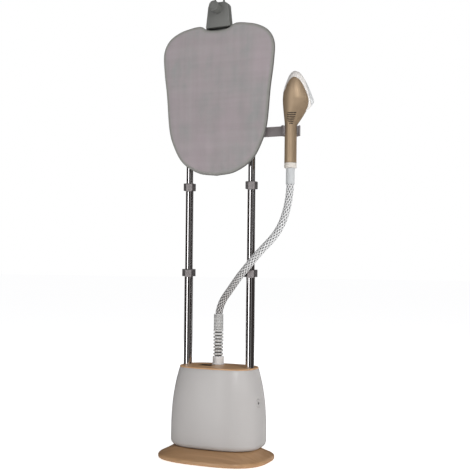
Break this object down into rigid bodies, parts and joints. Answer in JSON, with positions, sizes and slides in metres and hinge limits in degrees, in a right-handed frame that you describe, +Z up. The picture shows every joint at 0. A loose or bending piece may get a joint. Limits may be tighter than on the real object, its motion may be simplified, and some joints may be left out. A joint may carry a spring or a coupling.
{
  "type": "garment steamer",
  "caption": "Upright garment steamer: rounded base with water tank, telescopic twin poles, vertical press board, hanger head and hand-held steam head on a hose.",
  "frame": {"origin": "on the floor, midway between the poles", "axes": "+Z up along the poles, +Y to the back, +X to the right seen from the press board's side"},
  "size_m": [0.5109, 0.2732, 1.488],
  "materials": {
    "bronze_wood": "satin wood-look",
    "body_grey": "satin",
    "tank_grey": "satin",
    "white_plastic": "satin",
    "steam_plate": "satin",
    "cream_plastic": "satin",
    "black_gloss": "gloss",
    "rubber": "matt",
    "inner_plastic": "matt",
    "circuit_green": "matt",
    "steel": "brushed",
    "brass": "plain",
    "chrome": "polished",
    "clamp_grey": "satin",
    "head_grey": "fine grain",
    "fabric": "woven",
    "gold": "satin metallic paint",
    "hose": "braided"
  },
  "bodies": {
    "base": {"base_plate": "bronze_wood", "floor_mat": "rubber", "front_housing": "body_grey", "bulkhead": "inner_plastic", "top_plate": "bronze_wood", "control_panel": "black_gloss", "boiler_stand": "steel", "boiler": "steel", "pump": "inner_plastic", "circuit_board": "circuit_green", "steam_pipe": "brass", "feed_pipe": "rubber", "tube_socket_left": "inner_plastic", "tube_socket_right": "inner_plastic", "cord_gland": "rubber", "valve_socket": "inner_plastic", "lower_tube_left": "chrome", "lower_tube_right": "chrome", "lower_clamp_left": "clamp_grey", "lower_clamp_right": "clamp_grey", "hose_collar": "white_plastic", "bend_guard": "white_plastic", "steam_hose": "hose"},
    "middle_left": {"middle_tube_left": "chrome", "upper_clamp_left": "clamp_grey"},
    "middle_right": {"middle_tube_right": "chrome", "upper_clamp_right": "clamp_grey"},
    "upper": {"upper_tube_left": "chrome", "upper_tube_right": "chrome", "pole_bridge": "head_grey", "head_post": "head_grey", "hanger_head": "head_grey", "hanger_peg": "head_grey", "press_panel": "inner_plastic", "press_pad": "fabric", "board_bracket_upper_left": "clamp_grey", "board_bracket_upper_right": "clamp_grey", "board_bracket_lower_left": "clamp_grey", "board_bracket_lower_right": "clamp_grey", "holder_clamp": "clamp_grey", "holder_arm": "clamp_grey"},
    "lower_lever_left": {"lower_lever_left": "clamp_grey"},
    "lower_lever_right": {"lower_lever_right": "clamp_grey"},
    "upper_lever_left": {"upper_lever_left": "clamp_grey"},
    "upper_lever_right": {"upper_lever_right": "clamp_grey"},
    "power_button": {"power_button": "white_plastic"},
    "tank": {"water_tank": "tank_grey", "tank_valve": "rubber", "flap_pin": "steel"},
    "filler_flap": {"filler_flap": "tank_grey"},
    "handset": {"handset_shell": "gold", "handset_rim": "white_plastic", "steam_plate": "steam_plate", "steam_chamber": "steel", "handset_steam_tube": "rubber", "handset_ring": "cream_plastic", "hose_cuff": "white_plastic"},
    "steam_trigger": {"steam_trigger": "gold"}
  },
  "joints": [
    {"name": "height_slide", "type": "slide", "parent": "base", "child": "upper", "axis": [0, 0, 1], "range_m": [-0.36, 0], "deforming": ["steam_hose"]},
    {"name": "middle_left_slide", "type": "slide", "parent": "base", "child": "middle_left", "axis": [0, 0, 1], "range_m": [-0.24, 0]},
    {"name": "middle_right_slide", "type": "slide", "parent": "base", "child": "middle_right", "axis": [0, 0, 1], "range_m": [-0.24, 0]},
    {"name": "lower_lever_left_turn", "type": "hinge", "parent": "base", "child": "lower_lever_left", "pos_m": [-0.095, -0.0188, 0.5985], "axis": [0, 0, 1], "range_deg": [0, 100]},
    {"name": "lower_lever_right_turn", "type": "hinge", "parent": "base", "child": "lower_lever_right", "pos_m": [0.127, -0.0188, 0.5985], "axis": [0, 0, 1], "range_deg": [0, 100]},
    {"name": "upper_lever_left_turn", "type": "hinge", "parent": "middle_left", "child": "upper_lever_left", "pos_m": [-0.095, -0.0188, 0.8805], "axis": [0, 0, 1], "range_deg": [0, 100]},
    {"name": "upper_lever_right_turn", "type": "hinge", "parent": "middle_right", "child": "upper_lever_right", "pos_m": [0.127, -0.0188, 0.8805], "axis": [0, 0, 1], "range_deg": [0, 100]},
    {"name": "power_button_press", "type": "slide", "parent": "base", "child": "power_button", "axis": [-1, 0, 0], "range_m": [0, 0.002], "stiffness_N_per_m": 300},
    {"name": "tank_slide", "type": "slide", "parent": "base", "child": "tank", "axis": [0, 1, 0], "range_m": [0, 0.11]},
    {"name": "filler_flap_turn", "type": "hinge", "parent": "tank", "child": "filler_flap", "pos_m": [0.004, 0.10375, 0.23265], "axis": [-1, 0, 0], "range_deg": [0, 100]},
    {"name": "handset_lift", "type": "slide", "parent": "upper", "child": "handset", "axis": [0, 0, 1], "range_m": [0, 0.045]},
    {"name": "steam_trigger_press", "type": "slide", "parent": "handset", "child": "steam_trigger", "axis": [-0.9063, -0.4226, 0], "range_m": [0, 0.0025], "stiffness_N_per_m": 300}
  ],
  "couplings": [
    {"joint": "middle_left_slide", "follows": "height_slide", "ratio": 0.6666},
    {"joint": "middle_right_slide", "follows": "height_slide", "ratio": 0.6666}
  ]
}
